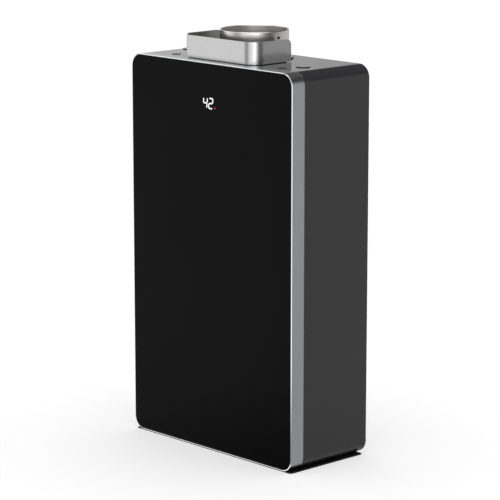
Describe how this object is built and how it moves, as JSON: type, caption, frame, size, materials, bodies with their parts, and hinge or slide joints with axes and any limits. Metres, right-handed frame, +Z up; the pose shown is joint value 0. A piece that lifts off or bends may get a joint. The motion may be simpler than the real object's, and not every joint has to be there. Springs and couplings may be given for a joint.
{
  "type": "tankless water heater",
  "caption": "Slim propane tankless water heater: dark glass front in an aluminium frame, painted steel case, round flue collar inside a bent steel shroud, pipe connections recessed below.",
  "frame": {"origin": "centre of the base plate's underside", "axes": "+Z up, the glass front faces -Y, +X to the right seen from the front"},
  "size_m": [0.35, 0.158, 0.6349],
  "materials": {
    "case_paint": "smooth charcoal paint with a gloss coat",
    "black_steel": "black oxide",
    "galvanised_steel": "galvanised sheet",
    "brushed_aluminium": "brushed and anodised",
    "black_glass": "tempered glass, printed black behind",
    "black_rubber": "matt",
    "circuit_board": "green solder mask",
    "black_plastic": "moulded",
    "white_plastic": "moulded",
    "red_plastic": "moulded",
    "satin_stainless": "satin",
    "polished_stainless": "turned and polished",
    "copper": "drawn copper",
    "brass": "machined brass",
    "cast_aluminium": "die cast",
    "ceramic_white": "glazed insulator"
  },
  "bodies": {
    "heater": {"base_plate": "black_steel", "case_shell": "case_paint", "back_panel": "galvanised_steel", "wall_rails": "galvanised_steel", "unit_brackets": "galvanised_steel", "top_brace": "galvanised_steel", "connection_pan": "galvanised_steel", "cover_seal": "black_rubber", "flue_shroud": "satin_stainless", "shroud_seal": "black_rubber", "flue_collar": "polished_stainless", "flue_gasket": "black_rubber", "collar_screws": "black_steel", "sampling_caps": "case_paint", "top_screws": "black_steel", "exhaust_hood": "satin_stainless", "exchanger_jacket": "copper", "exchanger_fins": "copper", "exchanger_coil": "copper", "combustion_chamber": "satin_stainless", "burner_tray": "galvanised_steel", "burner_bars": "satin_stainless", "gas_manifold": "cast_aluminium", "gas_nozzles": "brass", "gas_nipple": "brass", "gas_valve_body": "cast_aluminium", "gas_solenoid": "black_plastic", "plunger_spring": "satin_stainless", "gas_pipe": "copper", "blower_housing": "galvanised_steel", "blower_duct": "galvanised_steel", "blower_motor": "black_steel", "cold_nipple": "brass", "cold_valve_body": "brass", "flow_sensor_body": "black_plastic", "cold_pipe": "copper", "water_servo": "white_plastic", "strainer_cap": "brass", "hot_nipple": "brass", "hot_body": "brass", "outlet_thermistor": "brass", "control_tray": "black_plastic", "control_bracket": "galvanised_steel", "control_board": "circuit_board", "board_components": "black_plastic", "transformer": "black_steel", "overheat_switch": "black_plastic", "igniter": "black_plastic", "ignition_electrodes": "ceramic_white", "leads": "red_plastic", "cable_gland": "black_plastic"},
    "front_cover": {"front_frame": "brushed_aluminium", "front_glass": "black_glass", "glass_tape": "black_rubber", "display_board": "circuit_board", "display_digits": "black_plastic"},
    "fan_rotor": {"blower_wheel": "black_plastic"},
    "flow_rotor": {"flow_turbine": "white_plastic"},
    "valve_plunger": {"gas_plunger": "satin_stainless"},
    "valve_spindle": {"servo_spindle": "red_plastic"}
  },
  "joints": [
    {"name": "cover_pull", "type": "slide", "parent": "heater", "child": "front_cover", "axis": [0, -1, 0], "range_m": [0, 0.2]},
    {"name": "fan_spin", "type": "hinge", "parent": "heater", "child": "fan_rotor", "pos_m": [-0.05, 0, 0.2049], "axis": [0, 1, 0], "continuous": true},
    {"name": "turbine_spin", "type": "hinge", "parent": "heater", "child": "flow_rotor", "pos_m": [0, 0.018, 0.09], "axis": [0, 0, 1], "continuous": true},
    {"name": "plunger_lift", "type": "slide", "parent": "heater", "child": "valve_plunger", "axis": [0, 0, 1], "range_m": [0, 0.003], "stiffness_N_per_m": 300, "springref_m": -0.005, "deforming": ["plunger_spring"]},
    {"name": "servo_turn", "type": "hinge", "parent": "heater", "child": "valve_spindle", "pos_m": [0, 0, 0.0491], "axis": [0, 1, 0], "range_deg": [0, 90]}
  ]
}
